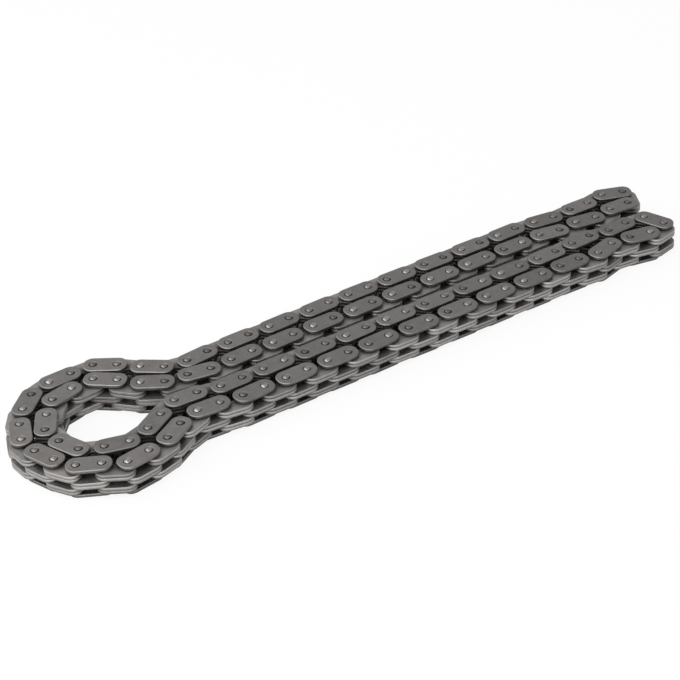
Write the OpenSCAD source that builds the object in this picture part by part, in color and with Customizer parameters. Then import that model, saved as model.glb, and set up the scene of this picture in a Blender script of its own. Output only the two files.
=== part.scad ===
// Timing chain of the inverted-tooth kind, lying on its side and folded into a keyhole.
// 130 pitches: a guide link and an inner link in turn. A guide link is two guide plates, two
// toothed plates and two pins, and an inner link is four toothed plates that turn on the pins.
// The chain closes on itself: two nested rings at the left and four runs that end in two tips.
// The teeth face the inside of the loop, which is left of the direction that the links are listed in.

/* [Chain] */
// Distance from one pin to the next
pitch = 8; // [7:0.25:12]
// Small turns of the links in the straight runs, in degrees
sway = 1.5; // [0:0.5:3]
// How far the two upper runs rise towards their tip, in degrees
upper_rise = 0.3; // [0:0.1:1]
// How far the two lower runs fall towards their tip, in degrees
lower_fall = 0.2; // [0:0.1:1]

/* [Pins] */
// Diameter of a pin
pin_d = 2.5; // [2:0.1:3]
// How far a pin's domed end stands out of its guide plate
pin_proud = 0.4; // [0.2:0.05:0.8]
// Radius that rounds the rim of a pin's end
pin_rim = 0.3; // [0.1:0.05:0.5]
// Gap all round between a pin and the plates that turn on it
turn_clear = 0.04; // [0.02:0.01:0.1]

/* [Plates] */
// Thickness of a toothed plate
plate_t = 1.2; // [0.8:0.05:1.8]
// Thickness of a guide plate
guide_t = 1.25; // [0.6:0.05:1.6]
// Gap between two toothed plates that lie side by side
plate_gap = 0.05; // [0.02:0.01:0.1]
// Gap between a guide plate and the first toothed plate
side_gap = 0.25; // [0.05:0.05:0.4]

/* [Toothed plate outline] */
// Gap between the tooth tips of two runs that lie tooth to tooth
tooth_clear = 0.7; // [0.5:0.1:2]
// Gap between the flat backs of the two middle runs
back_clear = 1.25; // [1.1:0.05:2.5]
// How far a toothed plate reaches past the centre of its pin
plate_end = 2.4; // [2.2:0.1:2.8]
// Radius of the two back corners
back_r = 3.3; // [2.4:0.1:3.6]
// Radius of a tooth's tip
tip_r = 0.5; // [0.3:0.05:0.7]
// How far a tooth's tip lies inward of its pin
tip_in = 0.1; // [0:0.05:0.4]
// Angle of the outer flank from upright, in degrees
flank_angle = 30; // [26:1:32]
// Radius of the hollow between the two teeth
crotch_r = 1.0; // [0.6:0.1:1.4]
// Depth of the hollow below the tips
crotch_depth = 3.6; // [2.8:0.1:3.8]

/* [Guide plate outline] */
// Gap between the ends of two guide plates in a row
guide_clear = 1.3; // [0.5:0.05:2]
// Gap between the sides of guide plates that face each other across two runs
guide_side_clear = 1.4; // [1.2:0.1:2]
// Radius of a guide plate's corners
guide_r = 3.2; // [2.4:0.1:3.4]

/* [Hidden] */

steel = [0.42, 0.41, 0.40];
guide_steel = [0.46, 0.45, 0.44];
pin_steel = [0.72, 0.71, 0.69];

// How the chain lies. Each entry is one pair of links: the heading of its guide link, then that of
// its inner link, in whole degrees, turning left from +X. The pairs are listed along the chain.

// Back from the upper tip to the start of the straight run
upper_tip_end = [[179, 183], [171, 175]];
// Round the outer ring
outer_ring = [
    [185, 169], [142, 136], [146, 179], [182, 200], [225, 238], [250, 277],
    [292, 302], [332, 329], [8, 16], [31, 20], [356, 352]
];
// Round the lower tip
lower_tip = [[358, 354], [15, 355], [348, 13], [111, 174], [182, 171], [182, 185]];
// Round the inner ring
inner_ring = [
    [180, 168], [176, 209], [212, 197], [164, 153], [114, 98],
    [62, 51], [14, 3], [320, 314], [327, 352], [349, 3]
];
// Out to the upper tip, up to the guide link before its tight fold
upper_tip_start = [[348, 5], [349, 10], [357, 190]];

// Links in one section of a straight run, and sections in a run
section_links = 4;
run_sections = 4;

// Each link of a section turns a little, and the same link of the facing run turns alike, so that
// two facing sections stay parallel and equal.
function link_sway(section, j) = sway * sin(97 * section + 141 * j);

// Headings of the links in a run that starts with section first and counts up or down by step
function run(heading, first, step) = [
    for (s = [0 : run_sections - 1])
        for (j = [0 : section_links - 1])
            heading + link_sway(first + step * s, j)
];

function flat(pairs) = [for (p = pairs) for (h = p) h];

// All headings in order. The first is the inner link after the upper tip's fold, and the list ends
// with the guide link before the fold: the two links of the fold close the loop and have no entry.
upper_start = flat(upper_tip_start);
headings = concat(
    [upper_start[5]],
    flat(upper_tip_end),
    run(180 + upper_rise, run_sections, -1),
    flat(outer_ring),
    run(-lower_fall, 1, 1),
    flat(lower_tip),
    run(180 - lower_fall, run_sections, -1),
    flat(inner_ring),
    run(upper_rise, 1, 1),
    [for (i = [0 : 4]) upper_start[i]]
);

function step_to(h) = pitch * [cos(h), sin(h)];

// Pins 1 to the last, each one pitch along its heading
trail = [
    for (i = 0, q = [0, 0]; i <= len(headings); q = i < len(headings) ? q + step_to(headings[i]) : q, i = i + 1)
        q
];

// The closing pin lies one pitch from both ends of the trail, on the outside of the fold
fold_a = trail[len(trail) - 1];
fold_b = trail[0];
fold_half = norm(fold_b - fold_a) / 2;
fold_rise = sqrt(pitch * pitch - fold_half * fold_half);
fold_dir = (fold_b - fold_a) / (2 * fold_half);
closing_pin = (fold_a + fold_b) / 2 + fold_rise * [fold_dir[1], -fold_dir[0]];

raw_pins = concat([closing_pin], trail);
count = len(raw_pins);

function raw_heading(i) =
    let (d = raw_pins[(i + 1) % count] - raw_pins[i])
    atan2(d[1], d[0]);

// Number of the pin that starts each straight run, in order along the chain: the closing pin is 0,
// and the first link of the list joins pins 1 and 2
run_links = section_links * run_sections;
run_a = 2 + 2 * len(upper_tip_end);
run_b = run_a + run_links + 2 * len(outer_ring);
run_c = run_b + run_links + 2 * len(lower_tip);
run_d = run_c + run_links + 2 * len(inner_ring);

// The gaps above and the guide plates' corners are given for a pitch of 8 mm and grow with it, so
// that the folded lay stays clear at any pitch
base_pitch = 8;
grow = pitch / base_pitch;

// The facing runs' spacing sets the height of teeth, backs and guide plates
upper_space = raw_pins[run_a][1] - raw_pins[run_d + run_links][1];
lower_space = raw_pins[run_c][1] - raw_pins[run_b + run_links][1];
middle_space = raw_pins[run_d][1] - raw_pins[run_c + run_links][1];
tooth_h = (min(upper_space, lower_space) - grow * tooth_clear) / 2;
back_h = (middle_space - grow * back_clear) / 2;
guide_h = (min(upper_space, lower_space) - grow * guide_side_clear) / 2;
guide_end = (pitch - grow * guide_clear) / 2;
corner_r = grow * guide_r;

hole_r = pin_d / 2 + turn_clear;

// Heights, from the pins' lower ends up
guide_z = pin_proud;
stack_z = guide_z + guide_t + side_gap;
layer = plate_t + plate_gap;
top_guide_z = stack_z + 6 * layer - plate_gap + side_gap;
pin_len = top_guide_z + guide_t + pin_proud;

// Tooth geometry: centre of the tip's round, then where the flanks leave the rounds
tip = [tip_in, tooth_h - tip_r];
crotch = [pitch / 2, tooth_h - crotch_depth + crotch_r];
reach = norm(crotch - tip);
inner_angle = atan2(crotch[1] - tip[1], crotch[0] - tip[0]) + acos((tip_r + crotch_r) / reach);
inner_out = [cos(inner_angle), sin(inner_angle)];
outer_out = [-cos(flank_angle), sin(flank_angle)];
flank_top = tip + tip_r * outer_out;
flank_foot = [-plate_end, flank_top[1] - (flank_top[0] + plate_end) / tan(flank_angle)];
tip_inner = tip + tip_r * inner_out;
crotch_edge = crotch - crotch_r * inner_out;
back_corner = [-plate_end + back_r, -back_h + back_r];

function across(p) = [pitch - p[0], p[1]];

// The box round the whole chain, from the rounds of every plate
corner_circles = [
    [back_corner, back_r], [across(back_corner), back_r],
    [tip, tip_r], [across(tip), tip_r]
];
guide_centre = [-guide_end + corner_r, guide_h - corner_r];
guide_circles = [
    [guide_centre, corner_r], [across(guide_centre), corner_r],
    [[guide_centre[0], -guide_centre[1]], corner_r],
    [across([guide_centre[0], -guide_centre[1]]), corner_r]
];
function placed(i, p) =
    let (h = raw_heading(i))
    raw_pins[i] + [p[0] * cos(h) - p[1] * sin(h), p[0] * sin(h) + p[1] * cos(h)];
function low(k) = min([
    for (i = [0 : count - 1])
        for (c = i % 2 == 0 ? concat(corner_circles, guide_circles) : corner_circles)
            placed(i, c[0])[k] - c[1]
]);
function high(k) = max([
    for (i = [0 : count - 1])
        for (c = i % 2 == 0 ? concat(corner_circles, guide_circles) : corner_circles)
            placed(i, c[0])[k] + c[1]
]);
middle = [(low(0) + high(0)) / 2, (low(1) + high(1)) / 2];

// Outline of a toothed plate: a round-cornered back, two teeth and the hollow between them
module toothed_outline() {
    difference() {
        union() {
            polygon([
                [-plate_end, back_corner[1]],
                flank_foot,
                flank_top,
                tip_inner,
                crotch_edge,
                across(crotch_edge),
                across(tip_inner),
                across(flank_top),
                across(flank_foot),
                [pitch + plate_end, back_corner[1]],
                [pitch - back_corner[0], -back_h],
                [back_corner[0], -back_h]
            ]);
            for (p = [tip, across(tip)])
                translate(p) circle(r = tip_r, $fn = 32);
            for (p = [back_corner, across(back_corner)])
                translate(p) circle(r = back_r, $fn = 64);
        }
        translate(crotch) circle(r = crotch_r, $fn = 40);
        for (x = [0, pitch])
            translate([x, 0]) circle(r = hole_r, $fn = 40);
    }
}

// Outline of a guide plate: a rounded bar with two holes that grip the pins
module guide_outline() {
    difference() {
        union() {
            polygon([
                [-guide_end, guide_h - corner_r],
                [-guide_end + corner_r, guide_h],
                [pitch + guide_end - corner_r, guide_h],
                [pitch + guide_end, guide_h - corner_r],
                [pitch + guide_end, corner_r - guide_h],
                [pitch + guide_end - corner_r, -guide_h],
                [-guide_end + corner_r, -guide_h],
                [-guide_end, corner_r - guide_h]
            ]);
            for (c = guide_circles)
                translate(c[0]) circle(r = c[1], $fn = 64);
        }
        for (x = [0, pitch])
            translate([x, 0]) circle(d = pin_d, $fn = 40);
    }
}

// Puts its child on link i
module on_link(i) {
    translate([raw_pins[i][0] - middle[0], raw_pins[i][1] - middle[1], 0])
        rotate([0, 0, raw_heading(i)])
            children();
}

// The two guide plates of each guide link, from pair first on
module guide_plates(first, pairs) {
    color(guide_steel)
        for (k = [first : first + pairs - 1])
            on_link((2 * k) % count)
                for (z = [guide_z, top_guide_z])
                    translate([0, 0, z]) linear_extrude(height = guide_t) guide_outline();
}

// A guide link has the two middle plates of the stack, an inner link has two pairs beside them
module toothed_plates(first, pairs) {
    color(steel)
        for (k = [first : first + pairs - 1]) {
            on_link((2 * k) % count)
                for (n = [2, 3])
                    translate([0, 0, stack_z + n * layer]) linear_extrude(height = plate_t) toothed_outline();
            on_link((2 * k + 1) % count)
                for (n = [0, 1, 4, 5])
                    translate([0, 0, stack_z + n * layer]) linear_extrude(height = plate_t) toothed_outline();
        }
}

// One pin: a straight shaft whose two ends have a rounded rim
module pin() {
    rotate_extrude($fn = 40)
        union() {
            translate([0, pin_rim]) square([pin_d / 2, pin_len - 2 * pin_rim]);
            square([pin_d / 2 - pin_rim, pin_len]);
            intersection() {
                square([pin_d / 2, pin_len]);
                for (z = [pin_rim, pin_len - pin_rim])
                    translate([pin_d / 2 - pin_rim, z]) circle(r = pin_rim, $fn = 32);
            }
        }
}

// The two pins of each guide link
module pins(first, pairs) {
    color(pin_steel)
        for (k = [first : first + pairs - 1])
            for (e = [0, 1])
                translate([
                    raw_pins[(2 * k + e) % count][0] - middle[0],
                    raw_pins[(2 * k + e) % count][1] - middle[1],
                    0
                ]) pin();
}

// The sections of a straight run, numbered from the rings outwards: name, first pair of links and
// how many pairs. A run that the list walks inwards counts down.
section_pairs = section_links / 2;
run_pairs = run_links / 2;
function run_parts(name, start, outwards) = [
    for (k = [0 : run_sections - 1])
        [str(name, outwards ? k + 1 : run_sections - k), start / 2 + k * section_pairs, section_pairs]
];

sections = concat(
    run_parts("upper_outer_", run_a, false),
    [["outer_ring", run_a / 2 + run_pairs, len(outer_ring)]],
    run_parts("lower_outer_", run_b, true),
    [["lower_tip", run_b / 2 + run_pairs, len(lower_tip)]],
    run_parts("lower_inner_", run_c, false),
    [["inner_ring", run_c / 2 + run_pairs, len(inner_ring)]],
    run_parts("upper_inner_", run_d, true),
    [["upper_tip", run_d / 2 + run_pairs, len(upper_tip_start) + len(upper_tip_end) + 1]]
);

for (s = sections) {
    guide_plates(s[1], s[2]);
    toothed_plates(s[1], s[2]);
    pins(s[1], s[2]);
}
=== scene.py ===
import math
import random

import bmesh
import bpy
from mathutils import Matrix, Vector


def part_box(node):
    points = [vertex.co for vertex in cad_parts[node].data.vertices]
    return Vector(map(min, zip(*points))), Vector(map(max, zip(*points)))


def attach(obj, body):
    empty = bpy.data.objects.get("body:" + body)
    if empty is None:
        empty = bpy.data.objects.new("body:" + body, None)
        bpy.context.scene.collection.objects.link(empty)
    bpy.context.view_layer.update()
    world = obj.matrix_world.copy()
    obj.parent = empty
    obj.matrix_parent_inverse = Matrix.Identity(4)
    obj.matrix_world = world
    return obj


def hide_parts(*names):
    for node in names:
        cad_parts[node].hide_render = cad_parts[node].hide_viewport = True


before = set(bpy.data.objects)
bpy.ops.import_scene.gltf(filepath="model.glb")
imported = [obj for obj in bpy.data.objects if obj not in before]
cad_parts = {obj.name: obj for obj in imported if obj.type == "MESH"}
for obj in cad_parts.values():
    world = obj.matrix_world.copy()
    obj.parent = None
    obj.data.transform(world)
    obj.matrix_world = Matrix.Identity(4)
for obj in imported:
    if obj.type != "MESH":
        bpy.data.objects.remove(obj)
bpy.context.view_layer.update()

# The pins. A chain of this kind turns on hardened round pins, one pitch apart, that are pressed
# through the guide plates and peened to a low dome at both ends. The chain lies on those ends,
# folded into two nested rings and four runs, so the pins' places are the lay of the whole chain.

# Sizes are in millimetres, and MM makes them the scene's metres
MM = 0.001
pitch = 8.0
sway = 1.5
upper_rise = 0.3
lower_fall = 0.2
section_links = 4
run_sections = 4
# How far the sway moves on from one section to the next and from link to link, in degrees
sway_section = 97
sway_link = 141

# Headings of the guide link and the inner link of each pair, in degrees
upper_tip_end = [(179, 183), (171, 175)]
outer_ring = [
    (185, 169), (142, 136), (146, 179), (182, 200), (225, 238), (250, 277),
    (292, 302), (332, 329), (8, 16), (31, 20), (356, 352),
]
lower_tip = [(358, 354), (15, 355), (348, 13), (111, 174), (182, 171), (182, 185)]
inner_ring = [
    (180, 168), (176, 209), (212, 197), (164, 153), (114, 98),
    (62, 51), (14, 3), (320, 314), (327, 352), (349, 3),
]
upper_tip_start = [(348, 5), (349, 10), (357, 190)]


def flat(pairs):
    return [heading for pair in pairs for heading in pair]


def run(heading, first, step):
    """The headings of a straight run, whose links turn a little from it."""
    return [
        heading + sway * math.sin(math.radians(sway_section * (first + step * s) + sway_link * j))
        for s in range(run_sections)
        for j in range(section_links)
    ]


upper_start = flat(upper_tip_start)
headings = (
    upper_start[5:]
    + flat(upper_tip_end)
    + run(180 + upper_rise, run_sections, -1)
    + flat(outer_ring)
    + run(-lower_fall, 1, 1)
    + flat(lower_tip)
    + run(180 - lower_fall, run_sections, -1)
    + flat(inner_ring)
    + run(upper_rise, 1, 1)
    + upper_start[:5]
)

trail = [Vector((0, 0))]
for heading in headings:
    angle = math.radians(heading)
    trail.append(trail[-1] + pitch * Vector((math.cos(angle), math.sin(angle))))
# The last pin closes the loop, one pitch from both ends of the trail
gap = trail[0] - trail[-1]
rise = math.sqrt(pitch ** 2 - gap.length_squared / 4)
side = Vector((gap.y, -gap.x)).normalized()
pin_places = [(trail[-1] + trail[0]) / 2 + rise * side] + trail

# The lay is centred as the solids are, by the low corner of the pins' own box
pins_low = [min(p[k] for p in pin_places) for k in (0, 1)]
node_boxes = [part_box(n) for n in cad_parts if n.endswith("_pins")]
pin_r = 1.25
solid_low = [min(low[k] for low, high in node_boxes) / MM + pin_r for k in (0, 1)]
middle = Vector((pins_low[0] - solid_low[0], pins_low[1] - solid_low[1]))
pin_places = [p - middle for p in pin_places]
pin_count = len(pin_places)


def link_place(i):
    """The matrix that puts a piece drawn along +X from pin i on link i."""
    here = pin_places[i % pin_count]
    there = pin_places[(i + 1) % pin_count]
    along = there - here
    turn = Matrix.Rotation(math.atan2(along.y, along.x), 4, "Z")
    return Matrix.Translation((here.x * MM, here.y * MM, 0)) @ turn


# Name of each section of the chain, its first pair of links and how many pairs it has
sections = []
pair = len(upper_tip_end) + 1
for name, outwards, ring, ring_pairs in (
    ("upper_outer", False, "outer_ring", len(outer_ring)),
    ("lower_outer", True, "lower_tip", len(lower_tip)),
    ("lower_inner", False, "inner_ring", len(inner_ring)),
    ("upper_inner", True, "upper_tip", len(upper_tip_start) + len(upper_tip_end) + 1),
):
    for k in range(run_sections):
        number = k + 1 if outwards else run_sections - k
        sections.append((f"{name}_{number}", pair, section_links // 2))
        pair += section_links // 2
    sections.append((ring, pair, ring_pairs))
    pair += ring_pairs


class Shade:
    """A value on a surface. Sums and products with it add their Math nodes."""

    def __init__(self, tree, socket=None):
        self.tree = tree
        self.socket = socket

    def node(self, kind, settings=None, inputs=None, output=0):
        made = self.tree.nodes.new(kind)
        for key, value in (settings or {}).items():
            setattr(made, key, value)
        for key, value in (inputs or {}).items():
            if isinstance(value, Shade):
                self.tree.links.new(value.socket, made.inputs[key])
            else:
                made.inputs[key].default_value = value
        return Shade(self.tree, made.outputs[output]) if made.outputs else None

    def math(self, operation, a, b):
        return self.node("ShaderNodeMath", {"operation": operation}, {0: a, 1: b})

    def __add__(self, other):
        return self.math("ADD", self, other)

    __radd__ = __add__

    def __sub__(self, other):
        return self.math("SUBTRACT", self, other)

    def __rsub__(self, other):
        return self.math("SUBTRACT", other, self)

    def __mul__(self, other):
        return self.math("MULTIPLY", self, other)

    __rmul__ = __mul__


def steel(name, dark, light, rough, bump, dent=0.0, painted_shade_toward_teeth=0.0, shear_and_seam_shade=0.0):
    """Satin steel, mottled by tumbling and scratched finely. Each point adds its own painted light:
    painted highlights on rims, painted shade on walls, in holes and on pin shafts.

    The darkening toward the teeth is painted shade: how much darker the side with the teeth is drawn,
    for the shade in the gaps under the guide plates and between links. The shear band is how much
    lighter the upper part of a cut edge is drawn and darker its lower
    part: partly the burnished and torn zones of a sheared edge, partly a painted highlight along the top
    corner and painted shade in the seam between stacked plates. Both go by the place on the piece, in
    millimetres: the teeth are at the high end of Y, and Z is upwards.
    """
    material = bpy.data.materials.new(name)
    material.use_nodes = True
    tree = material.node_tree
    tree.nodes.clear()
    s = Shade(tree)
    place = s.node("ShaderNodeTexCoord", output="Object")
    own = s.node("ShaderNodeAttribute", {"attribute_name": "own_place"}, output="Vector")
    tone = s.node("ShaderNodeAttribute", {"attribute_name": "tone"}, output="Fac")
    painted_light = s.node("ShaderNodeAttribute", {"attribute_name": "painted_light"}, output="Fac")
    mottle = s.node(
        "ShaderNodeTexNoise", {}, {"Vector": place, "Scale": 420.0, "Detail": 4.0, "Roughness": 0.6}
    )
    grit = s.node(
        "ShaderNodeTexNoise", {}, {"Vector": place, "Scale": 3200.0, "Detail": 3.0, "Roughness": 0.6}
    )
    stretched = s.node("ShaderNodeMapping", {}, {"Vector": own, "Scale": (0.35, 5.0, 1.0)})
    lines = s.node(
        "ShaderNodeTexNoise", {}, {"Vector": stretched, "Scale": 1.6, "Detail": 3.0, "Roughness": 0.7}
    )
    across = s.node("ShaderNodeSeparateXYZ", {}, {"Vector": own}, output="Y")
    teeth_side_painted_shade = s.node(
        "ShaderNodeMapRange",
        {},
        {"Value": across, "From Min": -3.4, "From Max": -1.0, "To Min": 0.0, "To Max": painted_shade_toward_teeth},
    )
    height = s.node("ShaderNodeSeparateXYZ", {}, {"Vector": own}, output="Z")
    shear_and_seam_band = s.node(
        "ShaderNodeMapRange",
        {},
        {"Value": height, "From Min": 0.4, "From Max": 0.65, "To Min": -shear_and_seam_shade, "To Max": shear_and_seam_shade / 2},
    )
    face = s.node(
        "ShaderNodeMapRange",
        {},
        {"Value": height, "From Min": 1.1, "From Max": 1.2, "To Min": 0.0, "To Max": shear_and_seam_shade / 2},
    )
    # Painted light: each point's painted highlight or painted shade is added to the colour along with
    # the real tone, mottle, grain and lines
    wear_and_painted_light = 0.25 * tone + 0.25 * mottle + 0.12 * grit + 0.2 * lines + 0.4 * painted_light + 0.09
    level = wear_and_painted_light - teeth_side_painted_shade + shear_and_seam_band - face
    clamped = s.node("ShaderNodeClamp", {}, {"Value": level})
    colour = s.node(
        "ShaderNodeMix", {"data_type": "RGBA"}, {0: clamped, 6: (*dark, 1), 7: (*light, 1)}, output=2
    )
    polish = rough + 0.14 * (mottle - 0.5) + 0.1 * (grit - 0.5) - 0.12 * (tone - 0.5)
    relief = 0.6 * grit + 0.4 * lines + dent * mottle
    normal = s.node(
        "ShaderNodeBump", {}, {"Strength": bump, "Distance": 0.00003, "Height": relief}
    )
    surface = s.node(
        "ShaderNodeBsdfPrincipled",
        {},
        {"Base Color": colour, "Metallic": 1.0, "Roughness": polish, "Normal": normal},
    )
    s.node("ShaderNodeOutputMaterial", {}, {"Surface": surface})
    return material


def make_piece(name, body, node, material, shape, places, tones):
    """One piece of a section: the shape copied to its places, riding on its body."""
    base = bmesh.new()
    base.from_mesh(shape)
    own = base.verts.layers.float_vector["own_place"]
    tone = base.verts.layers.float.new("tone")
    first = list(base.verts) + list(base.edges) + list(base.faces)
    for place, shade in zip(places, tones):
        copy = bmesh.ops.duplicate(base, geom=first)["geom"]
        verts = [v for v in copy if isinstance(v, bmesh.types.BMVert)]
        bmesh.ops.transform(base, matrix=place, verts=verts)
        for v in verts:
            v[tone] = shade
    bmesh.ops.delete(base, geom=[v for v in first if isinstance(v, bmesh.types.BMVert)], context="VERTS")
    mesh = bpy.data.meshes.new(name)
    base.to_mesh(mesh)
    base.free()
    mesh.materials.append(material)
    piece = bpy.data.objects.new(name, mesh)
    bpy.context.scene.collection.objects.link(piece)
    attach(piece, body)
    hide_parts(node)
    return piece


def note_places(bm):
    """Keeps each point's place on its own piece, in millimetres, for the finish."""
    own = bm.verts.layers.float_vector.new("own_place")
    for v in bm.verts:
        v[own] = v.co / MM


draw = random.Random(8)
pin_length = 11.25
pin_proud = 0.4
pin_sides = 16
# The peened end's outline as radius and depth, from the shaft to the middle of the dome
dome = [
    (pin_r, 0.75), (pin_r, 0.46), (1.17, 0.36), (0.98, 0.23), (0.7, 0.11), (0.36, 0.03), (0.0, 0.0),
]
pin_bm = bmesh.new()
profile = [Vector((r * MM, 0, z * MM)) for r, z in reversed(dome)]
profile += [Vector((r * MM, 0, (pin_length - z) * MM)) for r, z in dome]
line = [pin_bm.verts.new(p) for p in profile]
edges = [pin_bm.edges.new(ends) for ends in zip(line, line[1:])]
bmesh.ops.spin(
    pin_bm, geom=line + edges, cent=(0, 0, 0), axis=(0, 0, 1), angle=2 * math.pi,
    steps=pin_sides, use_merge=True,
)
# Points nearer than this are one point, in millimetres
hair = 0.0001
bmesh.ops.remove_doubles(pin_bm, verts=pin_bm.verts, dist=hair * MM)
bmesh.ops.recalc_face_normals(pin_bm, faces=pin_bm.faces)
for f in pin_bm.faces:
    f.smooth = True
# Painted light on the pin: the dome a little lighter, painted shade on the edge that was peened over and
# darker painted shade on the shaft below it
dome_depth = 0.3
dome_painted_light = 0.1
edge_painted_shade = -0.6
shaft_painted_shade = -1.3
painted_light = pin_bm.verts.layers.float.new("painted_light")
for v in pin_bm.verts:
    depth = min(v.co.z / MM, pin_length - v.co.z / MM)
    v[painted_light] = dome_painted_light if depth < dome_depth else edge_painted_shade if depth < pin_proud else shaft_painted_shade
note_places(pin_bm)
pin_shape = bpy.data.meshes.new("pin")
pin_bm.to_mesh(pin_shape)
pin_bm.free()
pin_steel = steel(
    "pin_steel", dark=(0.035, 0.033, 0.031), light=(0.6, 0.575, 0.552), rough=0.33, bump=0.4, dent=3.0
)
next_pin = Matrix.Translation((pitch * MM, 0, 0))
for section, first, pairs in sections:
    places = []
    for k in range(first, first + pairs):
        places += [link_place(2 * k), link_place(2 * k) @ next_pin]
    make_piece(
        f"{section}.pins", section, f"{section}_pins", pin_steel, pin_shape, places,
        [draw.uniform(-1.0, 1.0) for p in places],
    )

# The toothed plates. Each is stamped from steel strip with two teeth, a hollow between them and a
# flat back, and six lie side by side: two on each guide link, four on each inner link. Their rims
# carry a painted highlight and their cut walls a little painted shade.
plate_t = 1.2
plate_gap = 0.05
layer = plate_t + plate_gap
guide_link_layers = (2, 3)
inner_link_layers = (0, 1, 4, 5)
guide_t = 1.25
side_gap = 0.25
stack_z = pin_proud + guide_t + side_gap
tooth_h = 3.9975
back_h = 4.871
plate_end = 2.4
back_r = 3.3
tip_r = 0.5
tip_in = 0.1
flank_angle = math.radians(30)
crotch_r = 1.0
crotch_depth = 3.6
plate_rim = 0.08
turn_clear = 0.04

# The straight flanks run on to sharp corners, which the rounds of tip and hollow then take off
tip = Vector((tip_in, tooth_h - tip_r))
crotch = Vector((pitch / 2, tooth_h - crotch_depth + crotch_r))
between = crotch - tip
slope = math.atan2(between.y, between.x) + math.acos((tip_r + crotch_r) / between.length)
inner_out = Vector((math.cos(slope), math.sin(slope)))
outer_out = Vector((-math.cos(flank_angle), math.sin(flank_angle)))
tooth_lean = outer_out.angle(inner_out)
tip_corner = tip + tip_r / math.cos(tooth_lean / 2) * (outer_out + inner_out).normalized()
half_open = math.pi / 2 - math.atan2(inner_out.y, inner_out.x)
crotch_corner = Vector((pitch / 2, crotch.y - crotch_r / math.cos(half_open)))
flank_foot = Vector((
    -plate_end,
    tip_corner.y - (tip_corner.x + plate_end) / math.tan(flank_angle),
))

# Painted shade inside a hole that is chamfered, and how upright a level face's normal is at least
hole_painted_shade = -1.5
level_z = 0.99


def pierce(bm, painted_light, thickness, holes):
    """Cuts round holes through a plate, given as (x, radius, chamfer) with a chamfer at both ends."""
    caps = [f for f in bm.faces if abs(f.normal.z) > level_z]
    borders = [(f.verts[0].co.z, list(f.edges)) for f in caps]
    bmesh.ops.delete(bm, geom=caps, context="FACES_ONLY")
    for x, r, chamfer in holes:
        levels = [(0, r + chamfer, 0.0), (thickness, r + chamfer, 0.0)]
        if chamfer:
            levels[1:1] = [(chamfer, r, hole_painted_shade), (thickness - chamfer, r, hole_painted_shade)]
        rings = []
        for z, ring_r, ring_painted_light in levels:
            ring = bmesh.ops.create_circle(
                bm, segments=pin_sides, radius=ring_r * MM,
                matrix=Matrix.Translation((x * MM, 0, z * MM)),
            )["verts"]
            for v in ring:
                v[painted_light] = ring_painted_light
            rings.append(list(dict.fromkeys(e for v in ring for e in v.link_edges)))
        for low, high in zip(rings, rings[1:]):
            bmesh.ops.bridge_loops(bm, edges=low + high)
        for z, border in borders:
            border += rings[0] if z < hair * MM else rings[-1]
    for z, border in borders:
        bmesh.ops.triangle_fill(bm, use_beauty=True, edges=border)


def stamped(outline, thickness, rim_width, rim_steps, rim_painted_light, wall_painted_shade, holes):
    """A plate stamped from strip: an outline of (x, y, radius, steps), drawn up and rounded.

    Steps are the flats in a corner's round, or in the round of the rim.
    """
    bm = bmesh.new()
    corners = [bm.verts.new((x * MM, y * MM, 0)) for x, y, r, steps in outline]
    bm.faces.new(corners)
    total = len(corners)
    plan = []
    for k, (x, y, r, steps) in enumerate(outline):
        if r:
            here = Vector((x, y))
            a = Vector(outline[k - 1][:2]) - here
            b = Vector(outline[(k + 1) % total][:2]) - here
            plan.append((corners[k], r / math.tan(a.angle(b) / 2), steps))
    for vert, setback, steps in plan:
        bmesh.ops.bevel(
            bm, geom=[vert], offset=setback * MM, offset_type="OFFSET", segments=steps,
            profile=0.5, affect="VERTICES", material=-1,
        )
    bm.faces.ensure_lookup_table()
    drawn = bmesh.ops.extrude_face_region(bm, geom=list(bm.faces))["geom"]
    top = [v for v in drawn if isinstance(v, bmesh.types.BMVert)]
    bmesh.ops.translate(bm, vec=(0, 0, thickness * MM), verts=top)
    bmesh.ops.recalc_face_normals(bm, faces=bm.faces)
    rims = [e for e in bm.edges if abs(e.verts[0].co.z - e.verts[1].co.z) < hair * MM]
    bmesh.ops.bevel(
        bm, geom=rims, offset=rim_width * MM, offset_type="OFFSET", segments=rim_steps,
        profile=0.5, affect="EDGES", material=-1,
    )
    # Painted light on the plate: a painted highlight on the rounded rim when its amount is above nought,
    # painted shade when below, and painted shade on the walls below it
    painted_light = bm.verts.layers.float.new("painted_light")
    for v in bm.verts:
        depth = min(v.co.z, thickness * MM - v.co.z) / MM
        v[painted_light] = 0.0 if depth < hair else rim_painted_light if depth < rim_width - hair else wall_painted_shade
    pierce(bm, painted_light, thickness, holes)
    bmesh.ops.recalc_face_normals(bm, faces=bm.faces)
    for f in bm.faces:
        f.smooth = abs(f.normal.z) < level_z
    note_places(bm)
    shape = bpy.data.meshes.new("stamped_plate")
    bm.to_mesh(shape)
    bm.free()
    return shape


# One half, from the back's corner to the tip of the tooth. The other is its mirror image
half_outline = [
    (-plate_end, -back_h, back_r, 5),
    (-plate_end, flank_foot.y, 0, 0),
    (tip_corner.x, tip_corner.y, tip_r, 2),
]
mirrored = [(pitch - x, y, r, steps) for x, y, r, steps in half_outline]
toothed_shape = stamped(
    half_outline + [(crotch_corner.x, crotch_corner.y, crotch_r, 3)] + mirrored[::-1],
    plate_t, plate_rim, rim_steps=1, rim_painted_light=0.1, wall_painted_shade=-0.05,
    holes=[(x, pin_r + turn_clear, 0) for x in (0, pitch)],
)
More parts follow.
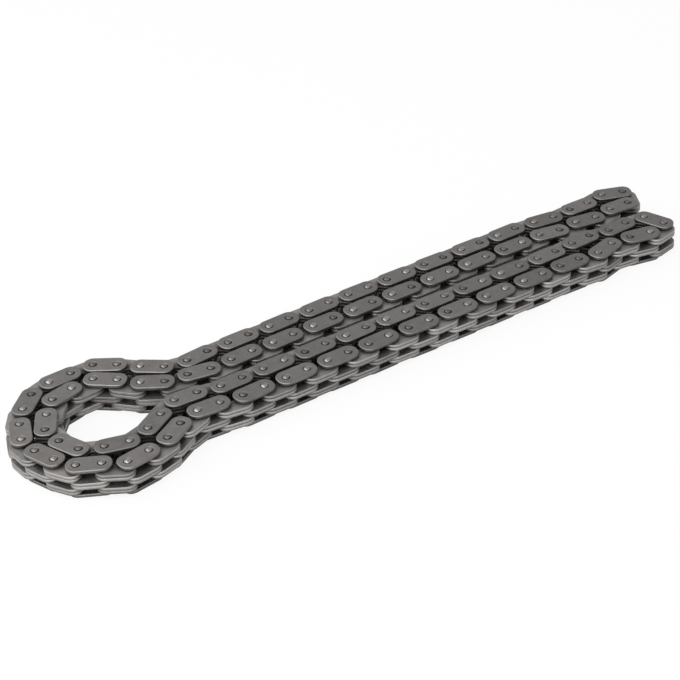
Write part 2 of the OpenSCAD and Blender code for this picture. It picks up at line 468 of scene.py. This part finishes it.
# The toothed plates' steel: painted shade toward the teeth, and the shear band with its painted seam
# shade
toothed_steel = steel(
    "toothed_plate_steel", dark=(0.06, 0.057, 0.055), light=(0.56, 0.54, 0.526),
    rough=0.54, bump=0.5, painted_shade_toward_teeth=0.4, shear_and_seam_shade=0.16,
)
for section, first, pairs in sections:
    places = []
    tones = []
    for k in range(first, first + pairs):
        for link, layers in ((2 * k, guide_link_layers), (2 * k + 1, inner_link_layers)):
            for n in layers:
                lift = Matrix.Translation((0, 0, (stack_z + n * layer) * MM))
                places.append(link_place(link) @ lift)
                tones.append(draw.uniform(-0.1, 1.0))
    make_piece(
        f"{section}.toothed_plates", section, f"{section}_toothed_plates",
        toothed_steel, toothed_shape, places, tones,
    )

# The guide plates. Each guide link has one on each outside face: a plain rounded bar, stamped and
# tumbled until its rim is soft. It grips its two pins and keeps the chain on the sprockets.
guide_z = pin_proud
stack_layers = len(guide_link_layers + inner_link_layers)
top_guide_z = stack_z + stack_layers * layer - plate_gap + side_gap
guide_h = 3.6475
guide_end = 3.35
guide_r = 3.2
guide_rim = 0.36
hole_chamfer = 0.3
corner_steps = 6
# The guide plate's rim is painted a little darker and its walls darker still: painted shade where the
# plates stand close together
guide_shape = stamped(
    [
        (-guide_end, -guide_h, guide_r, corner_steps),
        (-guide_end, guide_h, guide_r, corner_steps),
        (pitch + guide_end, guide_h, guide_r, corner_steps),
        (pitch + guide_end, -guide_h, guide_r, corner_steps),
    ],
    guide_t, guide_rim, rim_steps=3, rim_painted_light=-0.1, wall_painted_shade=-0.6,
    holes=[(x, pin_r, hole_chamfer) for x in (0, pitch)],
)
guide_steel = steel(
    "guide_plate_steel", dark=(0.05, 0.047, 0.045), light=(0.43, 0.41, 0.397), rough=0.46, bump=0.5
)
for section, first, pairs in sections:
    places = [
        link_place(2 * k) @ Matrix.Translation((0, 0, z * MM))
        for k in range(first, first + pairs)
        for z in (guide_z, top_guide_z)
    ]
    make_piece(
        f"{section}.guide_plates", section, f"{section}_guide_plates",
        guide_steel, guide_shape, places,
        [draw.uniform(0.2, 0.8) for p in places],
    )

# The studio: a pale floor that the chain lies on, soft lamps above it and the camera at the
# photograph's angle, a little left of the rings and looking down along the runs.
floor_half = 3.0
floor_bm = bmesh.new()
bmesh.ops.create_grid(floor_bm, x_segments=1, y_segments=1, size=floor_half)
floor_mesh = bpy.data.meshes.new("floor")
floor_bm.to_mesh(floor_mesh)
floor_bm.free()
floor = bpy.data.objects.new("floor", floor_mesh)
bpy.context.scene.collection.objects.link(floor)
paper = bpy.data.materials.new("floor_paper")
paper.use_nodes = True
paper.node_tree.nodes.clear()
s = Shade(paper.node_tree)
seen = s.node("ShaderNodeLightPath", output="Is Camera Ray")
mirrored_ray = s.node("ShaderNodeLightPath", output="Is Glossy Ray")
sheet = s.node("ShaderNodeBsdfDiffuse", {}, {"Color": (0.8, 0.8, 0.8, 1)})
glow = s.node("ShaderNodeEmission", {}, {"Color": (1, 1, 1, 1), "Strength": 1.0})
white_share = 0.9 * seen + 0.15 * mirrored_ray
mixed = s.node("ShaderNodeMixShader", {}, {0: white_share, 1: sheet, 2: glow})
s.node("ShaderNodeOutputMaterial", {}, {"Surface": mixed})
floor_mesh.materials.append(paper)

air_level = 0.58
world = bpy.data.worlds.new("studio")
bpy.context.scene.world = world
world.use_nodes = True
world.node_tree.nodes.clear()
s = Shade(world.node_tree)
seen = s.node("ShaderNodeLightPath", output="Is Camera Ray")
strength = air_level + (1 - air_level) * seen
air = s.node("ShaderNodeBackground", {}, {"Color": (1, 1, 1, 1), "Strength": strength})
s.node("ShaderNodeOutputWorld", {}, {"Surface": air})


def lamp(name, place, target, size, power):
    light = bpy.data.lights.new(name, "AREA")
    light.shape = "RECTANGLE"
    light.size, light.size_y = size
    light.energy = power
    holder = bpy.data.objects.new(name, light)
    holder.location = place
    holder.rotation_euler = (Vector(target) - Vector(place)).to_track_quat("-Z", "Y").to_euler()
    bpy.context.scene.collection.objects.link(holder)


lamp("key_lamp", (-0.8, 0.4, 0.8), (0, 0, 0), (2.0, 1.6), 13.0)
lamp("top_lamp", (-0.28, -0.16, 0.6), (-0.09, 0, 0), (0.34, 0.34), 1.0)
lamp("fill_lamp", (-0.75, -1.1, 0.5), (0, 0, 0), (2.4, 1.4), 16.0)

camera_data = bpy.data.cameras.new("camera")
camera_data.sensor_width = 36
camera_data.lens = 96.66
camera_data.clip_end = 20
camera = bpy.data.objects.new("camera", camera_data)
camera_place = (-0.26656, -0.44106, 0.35610)
right = Vector((0.84215572, -0.53679957, -0.05118547))
up = Vector((0.34162278, 0.45768134, 0.82086641))
back = Vector((-0.41721410, -0.70878347, 0.56882193))
turn = Matrix((right, up, back)).transposed().to_4x4()
camera.matrix_world = Matrix.Translation(camera_place) @ turn
bpy.context.scene.collection.objects.link(camera)
bpy.context.scene.camera = camera
bpy.context.scene.view_settings.view_transform = "Standard"
